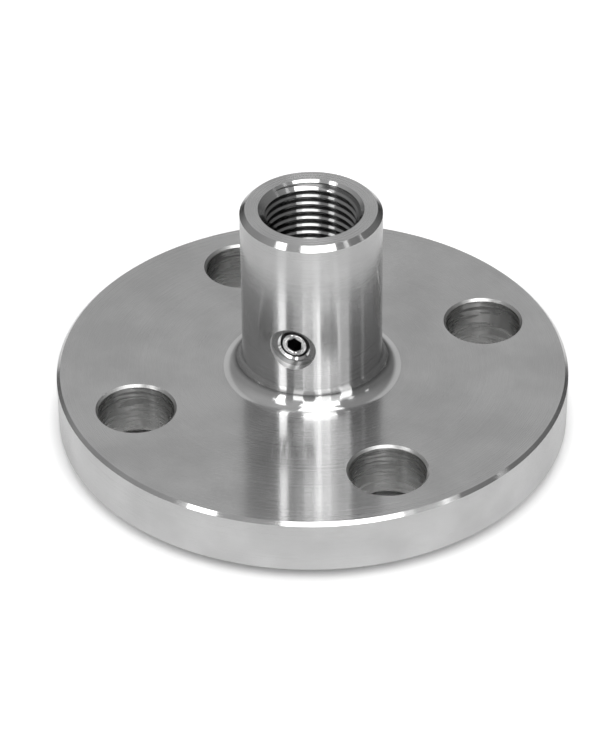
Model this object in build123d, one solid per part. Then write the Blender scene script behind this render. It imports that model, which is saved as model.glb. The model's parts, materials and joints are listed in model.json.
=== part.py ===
from build123d import *

import math
import os

# Flanged gauge diaphragm seal, sizes in millimetres and angles in degrees.
# The frame stands on the middle of the raised face's contact plane, and +Z runs up the neck.

# Flange plate, class 150 for a one inch pipe
bolt_circle = 79.4
bolt_hole_diameter = 15.9
bolt_hole_count = 4
bolt_hole_top_chamfer = 0.5
bolt_hole_bottom_chamfer = 1.2
first_hole_angle = 45.0
rim_margin = 6.35
plate_thickness = 12.7
plate_top_chamfer = 0.7
plate_bottom_chamfer = 1.0

# Raised gasket face under the plate
face_margin = 6.35
face_height = 1.6

# Gauge socket in the neck, G 1/2, left plain at the thread's minor diameter
thread_major_diameter = 20.955
threads_per_inch = 14
socket_depth = 19.0
mouth_margin = 0.47
mouth_angle = 90.0
pin_recess_diameter = 6.5
pin_recess_depth = 3.5

# Neck round the socket
neck_wall = 4.25
neck_height = 39.4
neck_rim_chamfer = 1.05
neck_root_radius = 4.0

# Fluid passage from the socket down to the diaphragm
passage_diameter = 3.0

# Diaphragm foil and the bed under it
foil_diameter = 34.0
foil_thickness = 0.1
foil_setback = 0.15
weld_land = 2.0
recess_clearance = 0.05
bed_gap = 0.3
wave_count = 3
wave_height = 0.4
centre_disc_diameter = 20.4

# Fill port in the neck's side, with its screw and ball
port_angle = 276.0
port_wall = 3.5
spotface_diameter = 9.8
spotface_depth = 1.5
port_countersink = 0.45
screw_diameter = 6.0
screw_clearance = 0.05
screw_setback = 0.15
screw_end_chamfer = 0.45
screw_point_diameter = 4.0
key_width = 3.0
key_depth = 3.0
key_angle = 0.0
ball_diameter = 3.0
ball_play = 0.02
seat_angle = 90.0
duct_diameter = 2.0
duct_length = 2.9

# Sizes that follow from those
bolt_hole_radius = bolt_hole_diameter / 2
plate_radius = bolt_circle / 2 + bolt_hole_radius + rim_margin
face_radius = bolt_circle / 2 - bolt_hole_radius - face_margin
plate_top = face_height + plate_thickness

thread_pitch = 25.4 / threads_per_inch
whitworth_depth_ratio = 0.640327
thread_major_radius = thread_major_diameter / 2
thread_minor_radius = thread_major_radius - whitworth_depth_ratio * thread_pitch
neck_radius = thread_major_radius + neck_wall
neck_top = plate_top + neck_height
socket_floor = neck_top - socket_depth
mouth_radius = thread_major_radius + mouth_margin
mouth_depth = (mouth_radius - thread_minor_radius) / math.tan(math.radians(mouth_angle / 2))
mouth_bottom = neck_top - mouth_depth
pin_recess_radius = pin_recess_diameter / 2
pin_recess_floor = socket_floor - pin_recess_depth
passage_radius = passage_diameter / 2

foil_radius = foil_diameter / 2
recess_radius = foil_radius + recess_clearance
land_level = foil_setback + foil_thickness
wave_start = centre_disc_diameter / 2
wave_end = foil_radius - weld_land
wave_pitch = (wave_end - wave_start) / wave_count
bed_level = land_level + bed_gap

screw_radius = screw_diameter / 2
port_radius = screw_radius + screw_clearance
port_height = socket_floor - port_wall - port_radius
spotface_radius = spotface_diameter / 2
spotface_floor = neck_radius - spotface_depth
ball_radius = ball_diameter / 2
duct_radius = duct_diameter / 2
seat_half_angle = math.radians(seat_angle / 2)
duct_end = passage_radius + duct_length
seat_apex = duct_end - duct_radius / math.tan(seat_half_angle)
seat_end = seat_apex + port_radius / math.tan(seat_half_angle)
ball_centre = seat_apex + (ball_radius + ball_play) / math.sin(seat_half_angle)
screw_inner_end = ball_centre + ball_radius + ball_play
screw_outer_end = spotface_floor - screw_setback
screw_length = screw_outer_end - screw_inner_end
screw_point_chamfer = screw_radius - screw_point_diameter / 2

port_plane = Plane(
    origin=(0, 0, port_height),
    x_dir=(0, 0, 1),
    z_dir=(math.cos(math.radians(port_angle)), math.sin(math.radians(port_angle)), 0),
)


def corrugations(level):
    """Toothed concentric waves from the centre disc to the weld land, their troughs at the level given."""
    bends = [(wave_start, level)]
    for wave in range(wave_count):
        crest = wave_start + (wave + 0.5) * wave_pitch
        bends.append((crest, level + wave_height))
        bends.append((crest + wave_pitch / 2, level))
    return Polyline(*bends) @ 1


def outside_outline(start):
    """Plate, neck root and neck, from the edge of the raised face up to the mouth of the socket."""
    Polyline(
        start,
        (face_radius, 0),
        (face_radius, face_height),
        (plate_radius - plate_bottom_chamfer, face_height),
        (plate_radius, face_height + plate_bottom_chamfer),
        (plate_radius, plate_top - plate_top_chamfer),
        (plate_radius - plate_top_chamfer, plate_top),
        (neck_radius + neck_root_radius, plate_top),
    )
    root = JernArc((neck_radius + neck_root_radius, plate_top), (-1, 0), neck_root_radius, -90)
    rim = Polyline(
        root @ 1,
        (neck_radius, neck_top - neck_rim_chamfer),
        (neck_radius - neck_rim_chamfer, neck_top),
        (mouth_radius, neck_top),
    )
    return rim @ 1


def inside_outline(start, end):
    """Countersunk mouth, socket, recess for the gauge's pin and the passage down to the bed."""
    Polyline(
        start,
        (thread_minor_radius, mouth_bottom),
        (thread_minor_radius, socket_floor),
        (pin_recess_radius, socket_floor),
        (pin_recess_radius, pin_recess_floor),
        (passage_radius, pin_recess_floor),
        end,
    )


def turned_body():
    """The flange and its neck as they come off the lathe, with the corrugated bed in the raised face."""
    with BuildPart() as turned:
        with BuildSketch(Plane.XZ):
            with BuildLine():
                Line((passage_radius, bed_level), (wave_start, bed_level))
                bed_end = corrugations(bed_level)
                land = Polyline(
                    bed_end,
                    (wave_end, land_level),
                    (recess_radius, land_level),
                    (recess_radius, 0),
                )
                mouth = outside_outline(land @ 1)
                inside_outline(mouth, (passage_radius, bed_level))
            make_face()
        revolve(axis=Axis.Z)
    return turned.part


def bolt_hole():
    """What one bolt hole takes out of the plate, chamfered at both faces."""
    wide_top = bolt_hole_radius + bolt_hole_top_chamfer
    wide_bottom = bolt_hole_radius + bolt_hole_bottom_chamfer
    with BuildPart() as hole:
        with BuildSketch(Plane.XZ):
            with BuildLine():
                Polyline(
                    (0, face_height),
                    (wide_bottom, face_height),
                    (bolt_hole_radius, face_height + bolt_hole_bottom_chamfer),
                    (bolt_hole_radius, plate_top - bolt_hole_top_chamfer),
                    (wide_top, plate_top),
                    (0, plate_top),
                    close=True,
                )
            make_face()
        revolve(axis=Axis.Z)
    return hole.part


def port_drilling():
    """Spot face, screw hole, ball seat and duct, along the port's own axis from the passage outwards."""
    countersink_floor = spotface_floor - port_countersink
    with BuildPart() as drilling:
        with BuildSketch(Plane.XZ):
            with BuildLine():
                Polyline(
                    (0, 0),
                    (duct_radius, 0),
                    (duct_radius, duct_end),
                    (port_radius, seat_end),
                    (port_radius, countersink_floor),
                    (port_radius + port_countersink, spotface_floor),
                    (spotface_radius, spotface_floor),
                    (spotface_radius, neck_radius + neck_wall),
                    (0, neck_radius + neck_wall),
                    close=True,
                )
            make_face()
        revolve(axis=Axis.Z)
    return port_plane * drilling.part


def make_body():
    with BuildPart() as body:
        add(turned_body())
        with PolarLocations(bolt_circle / 2, bolt_hole_count, first_hole_angle):
            add(bolt_hole(), mode=Mode.SUBTRACT)
        add(port_drilling(), mode=Mode.SUBTRACT)
    return body.part


def make_diaphragm():
    """Thin foil with pressed rings, its flat edge against the body's weld land."""
    with BuildPart() as foil:
        with BuildSketch(Plane.XZ):
            with BuildLine():
                Line((0, foil_setback), (wave_start, foil_setback))
                under_end = corrugations(foil_setback)
                Polyline(
                    under_end,
                    (foil_radius, foil_setback),
                    (foil_radius, land_level),
                    (wave_end, land_level),
                )
                corrugations(land_level)
                Polyline((wave_start, land_level), (0, land_level), (0, foil_setback))
            make_face()
        revolve(axis=Axis.Z)
    return foil.part


def make_fill_screw():
    """Set screw with a hexagon socket, its flat point against the ball."""
    with BuildPart() as screw:
        with BuildSketch(Plane.XZ):
            with BuildLine():
                Polyline(
                    (0, screw_inner_end),
                    (screw_radius - screw_point_chamfer, screw_inner_end),
                    (screw_radius, screw_inner_end + screw_point_chamfer),
                    (screw_radius, screw_outer_end - screw_end_chamfer),
                    (screw_radius - screw_end_chamfer, screw_outer_end),
                    (0, screw_outer_end),
                    close=True,
                )
            make_face()
        revolve(axis=Axis.Z)
        with BuildSketch(Plane.XY.offset(screw_outer_end)):
            RegularPolygon(key_width / 2, 6, major_radius=False, rotation=key_angle)
        extrude(amount=-key_depth, mode=Mode.SUBTRACT)
    return port_plane * screw.part


def make_sealing_ball():
    with BuildPart() as ball:
        with Locations((0, 0, ball_centre)):
            Sphere(ball_radius)
    return port_plane * ball.part


pieces = {
    "body": make_body(),
    "diaphragm": make_diaphragm(),
    "fill_screw": make_fill_screw(),
    "sealing_ball": make_sealing_ball(),
}

os.makedirs("parts", exist_ok=True)
for name, piece in pieces.items():
    export_step(piece, "parts/" + name + ".step")
print("screw length", round(screw_length, 2), "port height", round(port_height, 2))
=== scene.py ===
import json
import math

import bmesh
import bpy
from mathutils import Matrix, Vector


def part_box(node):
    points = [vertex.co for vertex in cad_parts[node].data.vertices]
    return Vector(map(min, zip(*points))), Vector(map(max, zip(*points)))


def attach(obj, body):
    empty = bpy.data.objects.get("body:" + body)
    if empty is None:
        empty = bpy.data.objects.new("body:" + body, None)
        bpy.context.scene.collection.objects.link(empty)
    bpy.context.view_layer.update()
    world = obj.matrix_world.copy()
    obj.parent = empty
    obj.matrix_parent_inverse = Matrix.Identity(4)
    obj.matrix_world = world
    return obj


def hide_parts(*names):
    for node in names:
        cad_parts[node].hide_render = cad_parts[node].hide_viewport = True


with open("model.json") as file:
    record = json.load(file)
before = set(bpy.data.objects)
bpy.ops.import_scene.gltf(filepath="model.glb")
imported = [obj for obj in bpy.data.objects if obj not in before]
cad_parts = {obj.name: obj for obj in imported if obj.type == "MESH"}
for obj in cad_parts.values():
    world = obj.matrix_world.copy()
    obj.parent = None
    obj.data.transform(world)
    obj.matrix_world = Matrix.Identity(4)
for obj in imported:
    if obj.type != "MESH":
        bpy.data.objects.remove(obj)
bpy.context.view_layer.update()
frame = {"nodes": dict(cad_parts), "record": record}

# Looks of a flanged gauge diaphragm seal. Everything is in metres, in the frame of the solids:
# the raised face stands on z = 0 and the neck points up.
mm = 0.001


def mount(name):
    """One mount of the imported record."""
    return next(m for m in frame["record"]["mounts"] if m["name"] == name)


# Sizes taken from the frame
_, body_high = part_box("body")
foil_low, foil_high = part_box("diaphragm")
bolts = mount("flange_bolts")["dims"]
socket_mount = mount("gauge_socket")
plate_radius = body_high[0]
neck_top = body_high[2]
foil_radius = foil_high[0]
foil_setback = foil_low[2]
bolt_circle_radius = bolts["pcd_mm"] * mm / 2
bolt_hole_radius = bolts["hole_r_mm"] * mm
bolt_hole_count = bolts["count"]
thread_minor_radius = socket_mount["dims"]["r_mm"] * mm

# Plate and raised face
first_hole_angle = math.radians(45)
bolt_hole_top_chamfer = 0.5 * mm
bolt_hole_bottom_chamfer = 1.2 * mm
plate_thickness = 12.7 * mm
plate_top_chamfer = 0.7 * mm
plate_bottom_chamfer = 1.0 * mm
face_radius = 25.4 * mm
face_height = 1.6 * mm
face_edge_chamfer = 0.15 * mm
plate_top = face_height + plate_thickness
serration_pitch = 0.5 * mm
serration_depth = 0.04 * mm
serration_margin = 0.6 * mm

# Neck, socket and passage
neck_wall = 4.25 * mm
neck_rim_chamfer = 1.05 * mm
neck_root_radius = 4.0 * mm
thread_major_radius = 20.955 / 2 * mm
thread_pitch = 25.4 / 14 * mm
neck_radius = thread_major_radius + neck_wall
socket_depth = 19.0 * mm
socket_floor = neck_top - socket_depth
mouth_margin = 0.47 * mm
mouth_radius = thread_major_radius + mouth_margin
mouth_bottom = neck_top - (mouth_radius - thread_minor_radius)
pin_recess_radius = 3.25 * mm
pin_recess_depth = 3.5 * mm
pin_recess_floor = socket_floor - pin_recess_depth
passage_radius = 1.5 * mm

# Whitworth thread of the socket, right-handed
whitworth_half_angle = math.radians(27.5)
thread_root_rounding = 0.137329 * thread_pitch
thread_bevel_width = 0.45 * mm
thread_bevel_slope = 0.8
thread_phase_angle = math.radians(112.8)
thread_phase_depth = 2.42 * mm
thread_top = neck_top - 0.35 * mm
thread_bottom = socket_floor + 1.6 * mm
thread_fade_turns = 0.8
thread_start_size = 0.02

# Foil, its weld and the bed over it
foil_thickness = 0.1 * mm
recess_clearance = 0.05 * mm
foil_recess_radius = foil_radius + recess_clearance
land_level = foil_setback + foil_thickness
bed_gap = 0.3 * mm
bed_level = land_level + bed_gap
wave_count = 3
wave_height = 0.4 * mm
wave_start = 10.2 * mm
weld_land = 2.0 * mm
wave_end = foil_radius - weld_land
wave_rounding = 0.5
weld_width = 0.7 * mm
weld_height = 0.1 * mm
weld_overhang = 0.04 * mm

# Fill port, along its own axis from the middle of the passage
port_angle = math.radians(276)
port_radius = 3.05 * mm
port_wall = 3.5 * mm
port_height = socket_floor - port_wall - port_radius
port_countersink = 0.45 * mm
spotface_radius = 4.9 * mm
spotface_depth = 1.5 * mm
spotface_floor = neck_radius - spotface_depth
duct_radius = 1.0 * mm
duct_length = 2.9 * mm
duct_end = passage_radius + duct_length
seat_end = duct_end + port_radius - duct_radius

# Set screw
screw_radius = 3.0 * mm
screw_setback = 0.15 * mm
screw_length = 6.0 * mm
screw_outer_end = spotface_floor - screw_setback
screw_inner_end = screw_outer_end - screw_length
screw_chamfer = 0.45 * mm
screw_point_radius = 2.0 * mm
lip_height = 0.22 * mm
lip_radius = 2.14 * mm
key_width = 3.0 * mm
key_depth = 3.0 * mm
key_angle = math.radians(0)

# Facets of the meshes
body_segments = 256
hole_segments = 128
thread_segments = 128
screw_segments = 96
fillet_steps = 20
thread_root_steps = 6
lip_steps = 12
bead_steps = 10
steps_per_wave = 16

# Outline points nearer than this count as one, and points this near the axis as on it
same_point = 1e-9
on_axis = 1e-7

# How far cutters reach past what they cut
beyond = 1 * mm

# Scales of the noises in the finishes
groove_scale = 26000.0
patch_scale = 60.0
stain_scale = 90.0
streak_scale = (150.0, 150.0, 1500.0)

# Light from the surroundings, 1 is white
world_right = 0.16
world_left = 0.27
world_low_share = 0.3
world_overhead = 0.12
world_behind = 0.53
floor_paint = 0.8
floor_seen_glow = 0.5
floor_mirrored_glow = 0.16
# Reach and far share of the painted pool of light round the part, in the floor's reflections
floor_near_reach = 0.15
floor_far_reach = 0.35
floor_far_share = 0.1
floor_half_size = 3.0
lamp_distance = 1.2

# Camera, found from the outlines in the photograph
view_azimuth = math.radians(22.815)
view_elevation = math.radians(36.377)
view_roll = math.radians(-0.615)
view_distance = 736.03 * mm
view_target = Vector((-2.429, -1.022, 11.397)) * mm
view_focal_pixels = 3475.97
frame_long_side_pixels = 750
sensor_size = 36.0


class Arc:
    """A round stretch of an outline, from one angle to another about its centre."""

    def __init__(self, centre, radius, start, end, steps):
        self.centre = centre
        self.radius = radius
        self.angles = [start + (end - start) * i / steps for i in range(steps + 1)]

    def points(self):
        cx, cy = self.centre
        radius = self.radius
        return [(cx + radius * math.cos(a), cy + radius * math.sin(a)) for a in self.angles]


class Turned:
    """A surface turned, or screwed, about an axis from an outline.

    The outline is made of (radius, height) points and arcs, and a word in it names the finish of
    what follows it. A lead other than 0 makes a thread.
    """

    def __init__(self, outline, lead=0.0, place=None):
        self.points = []
        self.pieces = []
        self.lead = lead
        self.place = place or Matrix()
        finish = "turned"
        for item in outline:
            if isinstance(item, str):
                finish = item
            elif isinstance(item, Arc):
                self._add_points(item.points(), item, finish)
            else:
                self._add_points([item], None, finish)
        self.pieces.append((self.points[-1], self.points[0], None, finish))

    def _add_points(self, points, arc, finish):
        for i, point in enumerate(points):
            if self.points and math.dist(self.points[-1], point) < same_point:
                continue
            if self.points:
                self.pieces.append((self.points[-1], point, arc if i > 0 else None, finish))
            self.points.append(point)


def distance_to_line(point, start, end):
    """How far a point of the outline's plane lies from one straight piece."""
    sx, sy = end[0] - start[0], end[1] - start[1]
    length = sx * sx + sy * sy
    share = ((point[0] - start[0]) * sx + (point[1] - start[1]) * sy) / length
    share = min(1.0, max(0.0, share))
    return math.hypot(point[0] - start[0] - share * sx, point[1] - start[1] - share * sy)


def outline_normal(piece, point):
    """Unit normal on the left of an outline's piece."""
    start, end, arc, _ = piece
    along = (end[0] - start[0], end[1] - start[1])
    left = (-along[1], along[0])
    if arc:
        out = (point[0] - arc.centre[0], point[1] - arc.centre[1])
        side = 1 if out[0] * left[0] + out[1] * left[1] > 0 else -1
        left = (side * out[0], side * out[1])
    size = math.hypot(*left)
    return left[0] / size, left[1] / size


def round_point(radius, angle, height):
    """A point at a radius and an angle about Z."""
    return Vector((radius * math.cos(angle), radius * math.sin(angle), height))


def mesh_object(name, verts, faces):
    """A new object in the scene, with the mesh of these vertices and faces."""
    mesh = bpy.data.meshes.new(name)
    mesh.from_pydata(verts, [], faces)
    mesh.validate()
    piece = bpy.data.objects.new(name, mesh)
    bpy.context.scene.collection.objects.link(piece)
    return piece


def turn(surface, segments):
    """Vertices and faces of a closed outline turned about its axis."""
    outline = surface.points
    verts = []
    rings = []
    for radius, height in outline:
        if radius < on_axis:
            rings.append([len(verts)] * segments)
            verts.append(surface.place @ Vector((0, 0, height)))
            continue
        rings.append(range(len(verts), len(verts) + segments))
        for i in range(segments):
            angle = 2 * math.pi * i / segments
            verts.append(surface.place @ round_point(radius, angle, height))
    faces = []
    for k in range(len(outline)):
        ring, following = rings[k], rings[(k + 1) % len(outline)]
        for i in range(segments):
            j = (i + 1) % segments
            corners = []
            for corner in (ring[j], ring[i], following[i], following[j]):
                if corner not in corners:
                    corners.append(corner)
            if len(corners) > 2:
                faces.append(corners)
    return verts, faces


def screw_round(surface, segments, low, high, fade_turns):
    """Vertices and faces of a closed outline wound up a helix.

    Over the first turns, at the low end, the outline grows from its inner edge to full size.
    """
    turns = (high - low) / surface.lead
    stations = round(turns * segments)
    inner = min(radius for radius, _ in surface.points)
    verts = []
    for s in range(stations + 1):
        turned = s / segments
        angle = 2 * math.pi * turned + 2 * math.pi * low / surface.lead
        size = min(1.0, thread_start_size + turned / fade_turns)
        for radius, height in surface.points:
            reach = inner + (radius - inner) * size
            z = low + surface.lead * turned + height * size
            verts.append(surface.place @ round_point(reach, angle, z))
    count = len(surface.points)
    faces = [list(range(count))[::-1], [stations * count + k for k in range(count)]]
    for s in range(stations):
        for k in range(count):
            a, b = s * count + k, s * count + (k + 1) % count
            faces.append([a, b, b + count, a + count])
    return verts, faces


def section(point, lead):
    """Radius and height of a point, brought back into the outline's own turn of a thread."""
    height = point.z
    if lead:
        height -= lead * math.atan2(point.y, point.x) / (2 * math.pi)
        height -= lead * round(height / lead)
    return math.hypot(point.x, point.y), height


def set_finishes(mesh, surfaces, materials):
    """Exact normals and the right material for every face.

    The material index of a face says which surface it lies on. A surface that is only a word is
    flat faced, and the word is its finish.
    """
    finishes = list(materials)
    slots = []
    normals = [Vector((0, 0, 1))] * len(mesh.loops)
    for face in mesh.polygons:
        surface = surfaces[face.material_index]
        if isinstance(surface, str):
            for index in face.loop_indices:
                normals[index] = face.normal.copy()
            slots.append(finishes.index(surface))
            continue
        back = surface.place.inverted()
        middle = section(back @ face.center, surface.lead)
        piece = min(surface.pieces, key=lambda p: distance_to_line(middle, p[0], p[1]))
        for index in face.loop_indices:
            point = back @ mesh.vertices[mesh.loops[index].vertex_index].co
            normal = surface_normal(surface, piece, point)
            normals[index] = normal if normal.dot(face.normal) > 0 else -normal
        slots.append(finishes.index(piece[3]))
    mesh.normals_split_custom_set(normals)
    mesh.materials.clear()
    for material in materials.values():
        mesh.materials.append(material)
    mesh.polygons.foreach_set("material_index", slots)


def surface_normal(surface, piece, point):
    """Normal of a turned surface or thread at a point in the surface's own frame."""
    across, up = outline_normal(piece, section(point, surface.lead))
    radius = max(math.hypot(point.x, point.y), on_axis)
    outward_way = Vector((point.x, point.y, 0)) / radius
    around = Vector((-point.y, point.x, 0)) / radius
    normal = outward_way * across + Vector((0, 0, 1)) * up
    normal -= around * (up * surface.lead / (2 * math.pi * radius))
    return (surface.place.to_3x3() @ normal).normalized()


def rounded_waves(level, rising):
    """Points of the foil's rounded waves from the centre disc to the weld land."""
    pitch = (wave_end - wave_start) / wave_count
    steps = steps_per_wave * wave_count
    points = []
    for i in range(steps + 1):
        share = i / steps
        phase = 2 * math.pi * wave_count * share
        smooth = (1 - math.cos(phase)) / 2
        straight = 1 - abs(1 - 2 * ((wave_count * share) % 1.0))
        height = wave_rounding * smooth + (1 - wave_rounding) * straight
        points.append((wave_start + pitch * wave_count * share, level + wave_height * height))
    return points if rising else points[::-1]


def serrations():
    """Fine grooves in the raised face, from its rim inwards to the foil's recess."""
    points = []
    radius = face_radius - serration_margin
    while radius - serration_pitch > foil_recess_radius + serration_margin:
        points.append((radius, 0.0))
        points.append((radius - serration_pitch / 2, serration_depth))
        radius -= serration_pitch
    points.append((radius, 0.0))
    return points


def body_surface():
    """Outline of plate, neck, socket, passage and bed, its outside on the left."""
    root_centre = (neck_radius + neck_root_radius, plate_top + neck_root_radius)
    outline = [
        (mouth_radius, neck_top),
        (neck_radius - neck_rim_chamfer, neck_top),
        # bright: chamfers, root fillet and mouth get a smoother cut and a lighter base colour,
        # which is a painted highlight
        "bright",
        (neck_radius, neck_top - neck_rim_chamfer),
        "turned",
        (neck_radius, plate_top + neck_root_radius),
        "bright",
        Arc(root_centre, neck_root_radius, math.pi, 1.5 * math.pi, fillet_steps),
        "turned",
        (plate_radius - plate_top_chamfer, plate_top),
        "bright",
        (plate_radius, plate_top - plate_top_chamfer),
        "turned",
        (plate_radius, face_height + plate_bottom_chamfer),
        "bright",
        (plate_radius - plate_bottom_chamfer, face_height),
        "turned",
        (face_radius, face_height),
        (face_radius, face_edge_chamfer),
        (face_radius - face_edge_chamfer, 0.0),
        *serrations(),
        (foil_recess_radius, 0.0),
        (foil_recess_radius, land_level),
        (wave_end, land_level),
        *rounded_waves(bed_level, rising=False),
        (passage_radius, bed_level),
        (passage_radius, pin_recess_floor),
        (pin_recess_radius, pin_recess_floor),
        (pin_recess_radius, socket_floor),
        (thread_minor_radius, socket_floor),
        # painted shade: the thread's crest land gets the dark shaded steel
        "shaded",
        (thread_minor_radius, mouth_bottom),
        "bright",
    ]
    return Turned(outline)


def bolt_hole_surface(index):
    """What one bolt hole takes out of the plate."""
    angle = first_hole_angle + 2 * math.pi * index / bolt_hole_count
    spot = round_point(1, angle, 0) * bolt_circle_radius
    outline = [
        (0, plate_top + beyond),
        (bolt_hole_radius + bolt_hole_top_chamfer + beyond, plate_top + beyond),
        "hole_edge",
        (bolt_hole_radius, plate_top - bolt_hole_top_chamfer),
        "bored",
        (bolt_hole_radius, face_height + bolt_hole_bottom_chamfer),
        "hole_edge",
        (bolt_hole_radius + bolt_hole_bottom_chamfer + beyond, face_height - beyond),
        (0, face_height - beyond),
    ]
    return Turned(outline, place=Matrix.Translation(spot))


def port_place():
    """Matrix that stands the port's own axis up along Z."""
    turn_down = Matrix.Rotation(math.pi / 2, 4, "Y")
    return Matrix.Translation((0, 0, port_height)) @ Matrix.Rotation(port_angle, 4, "Z") @ turn_down


def port_surface():
    """Spot face, countersunk screw hole, ball seat and duct."""
    outline = [
        "port",
        (0, neck_radius + neck_wall),
        (spotface_radius, neck_radius + neck_wall),
        "port_wall",
        (spotface_radius, spotface_floor),
        "port",
        (port_radius + port_countersink, spotface_floor),
        # port_edge: the countersink, in a lighter steel whose high grey is a painted highlight
        "port_edge",
        (port_radius, spotface_floor - port_countersink),
        "port",
        (port_radius, seat_end),
        (duct_radius, duct_end),
        (duct_radius, 0),
        (0, 0),
    ]
    return Turned(outline, place=port_place())


def thread_surface():
    """Section of the thread's groove with one bevelled crest, open towards the socket's axis."""
    apex = thread_major_radius + thread_root_rounding * (1 / math.sin(whitworth_half_angle) - 1)
    slope = math.tan(whitworth_half_angle)
    inside = thread_minor_radius - 0.05 * mm
    innermost = inside - 0.5 * mm
    opening = (apex - inside) * slope
    round_centre = (thread_major_radius - thread_root_rounding, 0.0)
    spread = math.pi / 2 - whitworth_half_angle
    bevel_radius = thread_minor_radius + thread_bevel_width
    bevel_depth = (apex - bevel_radius) * slope
    bevelled = bevel_depth + (bevel_radius - inside) * thread_bevel_slope
    outline = [
        # painted shade: upper flank, root and the deep part of the lower flank get the dark shaded
        # steel
        "shaded",
        (innermost, opening),
        (inside, opening),
        Arc(round_centre, thread_root_rounding, spread, -spread, thread_root_steps),
        (bevel_radius, -bevel_depth),
        # thread: the bevelled facet of the lower flank, in a darker steel whose low grey is painted
        # shade beside its highlight
        "thread",
        (inside, -bevelled),
        (innermost, -bevelled),
    ]
    lift = neck_top - thread_phase_depth - thread_pitch * thread_phase_angle / (2 * math.pi)
    place = Matrix.Translation((0, 0, lift % thread_pitch))
    return Turned(outline, lead=thread_pitch, place=place)


def joined(parts):
    """One object made of several meshes, each with its own material index."""
    verts, faces, indices = [], [], []
    for index, (part_verts, part_faces) in parts:
        start = len(verts)
        verts += part_verts
        faces += [[start + v for v in face] for face in part_faces]
        indices += [index] * len(part_faces)
    piece = mesh_object("cutters", verts, faces)
    for face, index in zip(piece.data.polygons, indices):
        face.material_index = index
    outward(piece.data)
    return piece


def outward(mesh):
    """Turns every face of a mesh outwards."""
    grid = bmesh.new()
    grid.from_mesh(mesh)
    bmesh.ops.recalc_face_normals(grid, faces=grid.faces)
    grid.to_mesh(mesh)
    grid.free()


def cut(piece, cutter, surface_count):
    """Takes the cutter out of the piece and deletes it; faces keep the index of their surface."""
    for _ in range(surface_count):
        piece.data.materials.append(None)
        cutter.data.materials.append(None)
    carve = piece.modifiers.new("carve", "BOOLEAN")
    carve.operation = "DIFFERENCE"
    carve.solver = "EXACT"
    carve.material_mode = "INDEX"
    carve.object = cutter
    scene_state = bpy.context.evaluated_depsgraph_get()
    result = bpy.data.meshes.new_from_object(piece.evaluated_get(scene_state))
    piece.modifiers.clear()
    piece.data = result
    bpy.data.objects.remove(cutter)


def make_body():
    """The one-piece flange and neck, with its holes, port and gauge thread."""
    surfaces = [body_surface()]
    surfaces += [bolt_hole_surface(i) for i in range(bolt_hole_count)]
    surfaces += [port_surface(), thread_surface()]
    piece = mesh_object("seal_body", *turn(surfaces[0], body_segments))
    outward(piece.data)
    parts = [(i, turn(surfaces[i], hole_segments)) for i in range(1, bolt_hole_count + 2)]
    thread = surfaces[-1]
    lift = thread.place.translation.z
    parts.append((len(surfaces) - 1, screw_round(
        thread, thread_segments, thread_bottom - lift, thread_top - lift, thread_fade_turns)))
    cut(piece, joined(parts), len(surfaces))
    set_finishes(piece.data, surfaces, {
        "turned": turned_steel("turned_steel"),
        # Smoother cut, and a grey lighter than the turned steel as a painted highlight
        "bright": turned_steel("smooth_steel_painted_highlight", grey=0.78, smooth=0.09, rough=0.17),
        # Grey darker than the turned steel: painted shade on the flank away from its highlight
        "thread": turned_steel("thread_flank_painted_shade_steel", grey=0.38, smooth=0.12, rough=0.2),
        # Dark grey: painted shade in the thread's roots and on its crest land
        "shaded": turned_steel("thread_painted_shade_steel", grey=0.2, smooth=0.2, rough=0.3),
        # Default grey 0.5: painted shade inside the bolt holes
        "bored": bored_steel("bored_steel"),
        "hole_edge": bored_steel("hole_edge_steel", grey=0.6, smooth=0.3, rough=0.45, marks=0.3),
        "port": port_steel("port_steel", grey=0.5, smooth=0.08, rough=0.14),
        # Grey lighter than the rest of the port: painted highlight on the countersink
        "port_edge": port_steel("port_edge_painted_highlight_steel", grey=0.85, smooth=0.06, rough=0.12),
        "port_wall": port_steel("port_wall_steel", grey=0.7, smooth=0.4, rough=0.5),
    })
    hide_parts("body")
    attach(piece, "root")


def make_foil():
    """The corrugated foil with its rounded waves and the weld bead round its edge."""
    weld = foil_recess_radius - weld_width / 2
    bead = []
    for i in range(bead_steps + 1):
        angle = math.pi * i / bead_steps
        height = foil_setback - weld_height * math.sin(angle)
        bead.append((weld + weld_width / 2 * math.cos(angle), height))
    outline = [
        (0, land_level),
        *rounded_waves(land_level, rising=True),
        (foil_radius + weld_overhang, land_level),
        *bead,
        *rounded_waves(foil_setback, rising=False),
        (0, foil_setback),
    ]
    surface = Turned(outline)
    piece = mesh_object("corrugated_foil", *turn(surface, body_segments))
    outward(piece.data)
    piece.data.shade_smooth()
    piece.data.materials.append(turned_steel("foil_steel", smooth=0.2, rough=0.3))
    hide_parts("diaphragm")
    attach(piece, "root")


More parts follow.
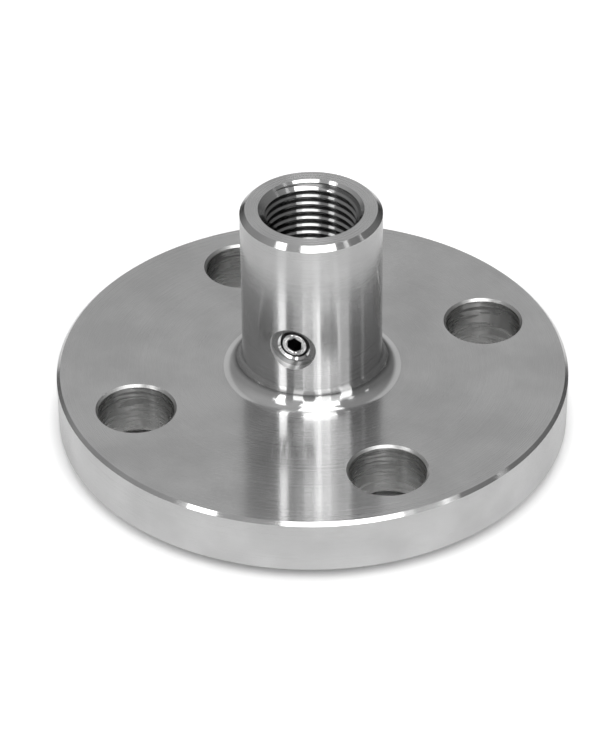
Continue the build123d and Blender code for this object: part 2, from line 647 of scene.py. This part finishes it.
def make_screw():
    """The set screw with its flat point, hexagon socket and the rounded lip round the socket."""
    half = screw_radius - screw_chamfer - lip_radius
    rounding = (half * half + lip_height * lip_height) / (2 * lip_height)
    spread = math.asin(half / rounding)
    lip_centre = (lip_radius, screw_outer_end - rounding)
    outline = [
        # port: the screw's end face and lip, in a lighter steel whose high grey is a painted
        # highlight
        "port",
        (0, screw_outer_end - lip_height),
        Arc(lip_centre, rounding, math.pi / 2 + spread, math.pi / 2 - spread, lip_steps),
        # dark: chamfer, side, point and back of the screw in near-black steel, painted shade in the
        # gap round the screw
        "dark",
        (screw_radius, screw_outer_end - screw_chamfer),
        (screw_radius, screw_inner_end + screw_radius - screw_point_radius),
        (screw_point_radius, screw_inner_end),
        (0, screw_inner_end),
    ]
    surface = Turned(outline, place=port_place())
    piece = mesh_object("set_screw", *turn(surface, screw_segments))
    outward(piece.data)
    corners = []
    key_radius = key_width / 2 / math.cos(math.pi / 6)
    for height in (screw_outer_end - key_depth, screw_outer_end + beyond):
        for i in range(6):
            angle = key_angle + math.pi / 3 * i
            corners.append(port_place() @ round_point(key_radius, angle, height))
    faces = [[5, 4, 3, 2, 1, 0], [6, 7, 8, 9, 10, 11]]
    faces += [[i, (i + 1) % 6, (i + 1) % 6 + 6, i + 6] for i in range(6)]
    key = mesh_object("key_socket", corners, faces)
    outward(key.data)
    for face in key.data.polygons:
        face.material_index = 1
    # The hexagon socket's walls take the near-black dark steel too, painted shade inside the socket
    surfaces = [surface, "dark"]
    cut(piece, key, len(surfaces))
    set_finishes(piece.data, surfaces, {
        # Grey 0.9, lighter than the turned steel: painted highlight on the screw's end face
        "port": port_steel("screw_steel", grey=0.9, smooth=0.16, rough=0.24),
        # Near-black grey: painted shade on the screw's chamfer and in its socket
        "dark": port_steel("screw_painted_shade_steel", grey=0.03, smooth=0.2, rough=0.3),
    })
    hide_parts("fill_screw")
    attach(piece, "root")


def math_node(tree, operation, *values):
    """A math node fed by sockets or numbers; gives its output."""
    node = tree.nodes.new("ShaderNodeMath")
    node.operation = operation
    for socket, value in zip(node.inputs, values):
        if isinstance(value, (int, float)):
            socket.default_value = value
        else:
            tree.links.new(value, socket)
    return node.outputs[0]


def vector_node(tree, operation, *values, output=0):
    """A vector math node fed by sockets or vectors; gives its output."""
    node = tree.nodes.new("ShaderNodeVectorMath")
    node.operation = operation
    for socket, value in zip(node.inputs, values):
        if isinstance(value, (Vector, tuple)):
            socket.default_value = value
        else:
            tree.links.new(value, socket)
    return node.outputs[output]


def noise_node(tree, dimensions, place, scale, detail):
    """A noise texture at a place, which is a number for 1D; gives its strength."""
    node = tree.nodes.new("ShaderNodeTexNoise")
    node.noise_dimensions = dimensions
    node.inputs["Scale"].default_value = scale
    node.inputs["Detail"].default_value = detail
    tree.links.new(place, node.inputs["W" if dimensions == "1D" else "Vector"])
    return node.outputs["Fac"]


def ramp_node(tree, value, low, high, at_low, at_high):
    """A straight ramp of a value between low and high, level outside them."""
    node = tree.nodes.new("ShaderNodeMapRange")
    node.inputs["From Min"].default_value = low
    node.inputs["From Max"].default_value = high
    node.inputs["To Min"].default_value = at_low
    node.inputs["To Max"].default_value = at_high
    tree.links.new(value, node.inputs["Value"])
    return node.outputs["Result"]


def plain_steel(name, grey=0.62):
    """A stainless steel material and its node tree, with tool marks that run along the tangent."""
    material = bpy.data.materials.new(name)
    material.use_nodes = True
    steel = material.node_tree.nodes["Principled BSDF"]
    steel.inputs["Base Color"].default_value = (grey, grey, 0.99 * grey, 1)
    steel.inputs["Metallic"].default_value = 1.0
    steel.inputs["Anisotropic"].default_value = 1.0
    steel.inputs["Anisotropic Rotation"].default_value = 0.25
    return material, material.node_tree, steel


def turned_steel(name, centre=Vector(), axis=Vector((0, 0, 1)), grey=0.62, smooth=0.12, rough=0.3):
    """Steel turned about an axis: fine rings of smooth and rough cut, and faint stains."""
    material, tree, steel = plain_steel(name, grey)
    place = tree.nodes.new("ShaderNodeNewGeometry")
    offset = vector_node(tree, "SUBTRACT", place.outputs["Position"], centre)
    along = vector_node(tree, "DOT_PRODUCT", offset, axis, output="Value")
    size = vector_node(tree, "LENGTH", offset, output="Value")
    squared = math_node(tree, "SUBTRACT", math_node(tree, "MULTIPLY", size, size),
                        math_node(tree, "MULTIPLY", along, along))
    radius = math_node(tree, "SQRT", math_node(tree, "MAXIMUM", squared, 0.0))
    tool_path = math_node(tree, "MULTIPLY_ADD", along, 1.37, radius)
    toward = vector_node(tree, "ADD", place.outputs["Normal"], offset)
    tree.links.new(vector_node(tree, "CROSS_PRODUCT", axis, toward), steel.inputs["Tangent"])

    grooves = noise_node(tree, "1D", tool_path, groove_scale, 0.0)
    patches = noise_node(tree, "3D", place.outputs["Position"], patch_scale, 2.0)
    cutting = math_node(tree, "MULTIPLY_ADD", patches, 0.1, grooves)
    tree.links.new(ramp_node(tree, cutting, 0.52, 0.72, smooth, rough), steel.inputs["Roughness"])
    stains = noise_node(tree, "3D", place.outputs["Position"], stain_scale, 3.0)
    stained = ramp_node(tree, stains, 0.35, 0.65, 0.94 * grey, 1.07 * grey)
    tree.links.new(stained, steel.inputs["Base Color"])
    return material


def port_steel(name, grey, smooth, rough):
    """Steel turned about the fill port's axis."""
    axis = Vector((math.cos(port_angle), math.sin(port_angle), 0))
    return turned_steel(name, Vector((0, 0, port_height)), axis, grey, smooth, rough)


# The default grey, darker than the turned steel, is painted shade on the bolt hole walls.
def bored_steel(name, grey=0.5, smooth=0.2, rough=0.42, marks=1.0):
    """Stainless steel of the drilled holes, with streaks of uneven cut that run round the wall."""
    material, tree, steel = plain_steel(name, grey)
    place = tree.nodes.new("ShaderNodeNewGeometry")
    steel.inputs["Anisotropic"].default_value = marks
    around = vector_node(tree, "CROSS_PRODUCT", Vector((0, 0, 1)), place.outputs["Normal"])
    tree.links.new(around, steel.inputs["Tangent"])
    stretched = vector_node(tree, "MULTIPLY", place.outputs["Position"], streak_scale)
    streaks = noise_node(tree, "3D", stretched, 1.0, 3.0)
    tree.links.new(ramp_node(tree, streaks, 0.4, 0.65, smooth, rough), steel.inputs["Roughness"])
    return material


def sight(azimuth, elevation):
    """Unit vector of an azimuth, counted to the right from -Y, and an elevation, in radians."""
    level = math.cos(elevation)
    return Vector((math.sin(azimuth) * level, -math.cos(azimuth) * level, math.sin(elevation)))


def direction(azimuth, elevation):
    """Unit vector towards a lamp, in degrees, azimuth counted to the right from the camera."""
    return sight(view_azimuth + math.radians(azimuth), math.radians(elevation))


def softbox(name, radiance, azimuth, elevation, width, height, lean=0.0, swing=0.0):
    """A rectangular lamp, its width and height in degrees as the part sees them.

    It can lean in its own plane, and one that hangs overhead is put sideways with swing.
    """
    lamp = bpy.data.lights.new(name, "AREA")
    lamp.shape = "RECTANGLE"
    lamp.size = 2 * lamp_distance * math.tan(math.radians(width) / 2)
    lamp.size_y = 2 * lamp_distance * math.tan(math.radians(height) / 2)
    lamp.energy = radiance * lamp.size * lamp.size_y * math.pi
    side = direction(azimuth + 90, 0)
    swung = math.radians(swing)
    way = direction(azimuth, elevation) * math.cos(swung) + side * math.sin(swung)
    side = (side - way * side.dot(way)).normalized()
    over = way.cross(side)
    place = Matrix((side, over, way)).transposed() @ Matrix.Rotation(math.radians(lean), 3, "Z")
    holder = bpy.data.objects.new(name, lamp)
    holder.matrix_world = Matrix.Translation(way * lamp_distance) @ place.to_4x4()
    bpy.context.scene.collection.objects.link(holder)


def make_lights():
    """Lamps, placed by the reflections that the photograph shows in neck, chamfers and plate."""
    softbox("left_box", 2.4, azimuth=-51.5, elevation=40, width=10, height=48, lean=18)
    softbox("left_patch", 1.6, azimuth=-61, elevation=46, width=9, height=6)
    softbox("front_box", 1.05, azimuth=15, elevation=29, width=22, height=40)
    softbox("front_strip", 1.2, azimuth=10.3, elevation=28, width=4.7, height=40)
    softbox("front_high_box", 0.75, azimuth=-4, elevation=42.5, width=16, height=14)
    softbox("front_thin_strip", 1.1, azimuth=-14, elevation=36, width=2.2, height=16)
    softbox("front_left_box", 1.1, azimuth=-21.5, elevation=20.5, width=14, height=25)
    softbox("front_right_box", 0.5, azimuth=35, elevation=30, width=18, height=40)
    softbox("right_low_box", 1.3, azimuth=50.5, elevation=17, width=17, height=36)
    softbox("right_middle_box", 0.35, azimuth=53, elevation=40, width=15, height=10)
    softbox("right_patch", 0.8, azimuth=64.5, elevation=43, width=6, height=10)
    softbox("right_line", 0.9, azimuth=89, elevation=33.5, width=5, height=5)
    softbox("high_box", 2.5, azimuth=15, elevation=58.5, width=38, height=23)
    softbox("top_box", 2.2, azimuth=0, elevation=86, width=23, height=36, swing=3.5)


def make_world():
    """Dim surroundings, lighter at left and overhead, with a light patch that the plate mirrors."""
    world = bpy.data.worlds.new("studio")
    bpy.context.scene.world = world
    world.use_nodes = True
    tree = world.node_tree
    background = tree.nodes["Background"]
    way = tree.nodes.new("ShaderNodeTexCoord").outputs["Generated"]
    leftward = vector_node(tree, "DOT_PRODUCT", way, direction(-90, 0), output="Value")
    behind = vector_node(tree, "DOT_PRODUCT", way, direction(180, 36), output="Value")
    upward = vector_node(tree, "DOT_PRODUCT", way, (0.0, 0.0, 1.0), output="Value")
    sides = ramp_node(tree, leftward, -0.3, 0.3, world_right, world_left)
    rising = ramp_node(tree, upward, 0.0, 0.3, world_low_share, 1.0)
    sides = math_node(tree, "MULTIPLY", sides, rising)
    overhead = ramp_node(tree, upward, 0.5, 0.8, 0.0, world_overhead)
    sides = math_node(tree, "ADD", sides, overhead)
    back = ramp_node(tree, behind, 0.84, 0.96, 0.0, world_behind)
    tree.links.new(math_node(tree, "MAXIMUM", sides, back), background.inputs["Color"])
    background.inputs["Strength"].default_value = 1.0


def make_floor():
    """A floor that is white to the camera, dimmer in reflections and without glow under the part.

    Seen in the steel it fades with distance from the part, a painted pool of light round it.
    """
    half = floor_half_size
    corners = [(-half, -half, 0), (half, -half, 0), (half, half, 0), (-half, half, 0)]
    floor = mesh_object("floor", corners, [[0, 1, 2, 3]])
    material = bpy.data.materials.new("floor_white")
    material.use_nodes = True
    tree = material.node_tree
    paint = tree.nodes["Principled BSDF"]
    paint.inputs["Roughness"].default_value = 0.9
    paint.inputs["Specular IOR Level"].default_value = 0.0
    paint.inputs["Emission Color"].default_value = (1, 1, 1, 1)
    rays = tree.nodes.new("ShaderNodeLightPath").outputs
    mirrored = math_node(tree, "MAXIMUM", rays["Is Glossy Ray"], rays["Is Transmission Ray"])
    glow = math_node(tree, "MULTIPLY", mirrored, floor_mirrored_glow)
    glow = math_node(tree, "MULTIPLY_ADD", rays["Is Camera Ray"], floor_seen_glow, glow)
    spot = tree.nodes.new("ShaderNodeNewGeometry").outputs["Position"]
    reach = vector_node(tree, "LENGTH", spot, output="Value")
    # Painted shadow: the floor's glow is taken out under the plate.
    outside_painted_shadow = ramp_node(tree, reach, 0.92 * plate_radius, 1.05 * plate_radius, 0.0, 1.0)
    # Painted pool of light: in reflections the floor's paint and glow fade with distance from the
    # part.
    painted_light_pool = ramp_node(tree, reach, floor_near_reach, floor_far_reach, 1.0, floor_far_share)
    camera_or_painted_pool = math_node(tree, "MAXIMUM", rays["Is Camera Ray"], painted_light_pool)
    tree.links.new(math_node(tree, "MULTIPLY", camera_or_painted_pool, floor_paint), paint.inputs["Base Color"])
    painted_light_and_shadow = math_node(tree, "MULTIPLY", outside_painted_shadow, camera_or_painted_pool)
    tree.links.new(math_node(tree, "MULTIPLY", glow, painted_light_and_shadow), paint.inputs["Emission Strength"])
    floor.data.materials.append(material)


def make_camera():
    """The camera at the photograph's place, with its lens."""
    back = sight(view_azimuth, view_elevation)
    side = Vector((math.cos(view_azimuth), math.sin(view_azimuth), 0))
    over = back.cross(side)
    right = math.cos(view_roll) * side + math.sin(view_roll) * over
    up = math.cos(view_roll) * over - math.sin(view_roll) * side
    lens = bpy.data.cameras.new("camera")
    lens.sensor_width = sensor_size
    lens.lens = view_focal_pixels / frame_long_side_pixels * sensor_size
    lens.clip_start = 0.01
    camera = bpy.data.objects.new("camera", lens)
    place = Matrix((right, up, back)).transposed().to_4x4()
    place.translation = view_target + back * view_distance
    camera.matrix_world = place
    bpy.context.scene.collection.objects.link(camera)
    bpy.context.scene.camera = camera


def finish_ball():
    """The ball keeps its solid and gets a polished finish."""
    ball = frame["nodes"]["sealing_ball"]
    material, _, steel = plain_steel("ball_steel")
    steel.inputs["Anisotropic"].default_value = 0.0
    steel.inputs["Roughness"].default_value = 0.06
    for held in ball.material_slots:
        held.material = material


make_body()
make_foil()
make_screw()
finish_ball()
make_floor()
make_lights()
make_world()
make_camera()
bpy.context.scene.view_settings.view_transform = "Standard"
